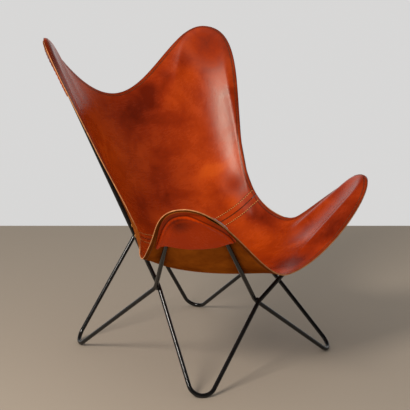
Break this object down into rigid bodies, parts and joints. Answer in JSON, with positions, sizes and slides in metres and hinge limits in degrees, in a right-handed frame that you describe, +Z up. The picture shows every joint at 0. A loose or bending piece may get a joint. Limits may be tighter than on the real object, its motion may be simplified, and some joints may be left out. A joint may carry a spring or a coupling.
{
  "type": "butterfly sling chair",
  "caption": "Low lounge chair: a leather sling of seat and back panels hung by corner pockets on the upper bends of a welded frame of crossed, bent steel rods.",
  "frame": {"origin": "on the floor, under the middle of the chair's box", "axes": "+Z up, -Y the way the sitter looks, +X the sitter's left"},
  "size_m": [0.7326, 0.7381, 0.9065],
  "materials": {
    "rod_black": "gloss black powder coat on bent steel rod",
    "cognac_leather": "smooth cognac saddle leather, semi-gloss, mottled",
    "suede": "raw flesh side of the leather"
  },
  "bodies": {
    "root": {"frame_loop_a": "rod_black", "frame_loop_b": "rod_black", "weld_front": "rod_black", "weld_back": "rod_black", "weld_left": "rod_black", "weld_right": "rod_black", "seat_panel": "cognac_leather", "back_panel": "cognac_leather", "seam_strip": "suede", "pocket_front_left": "cognac_leather", "pocket_front_right": "cognac_leather", "pocket_back_left": "cognac_leather", "pocket_back_right": "cognac_leather"}
  },
  "joints": []
}
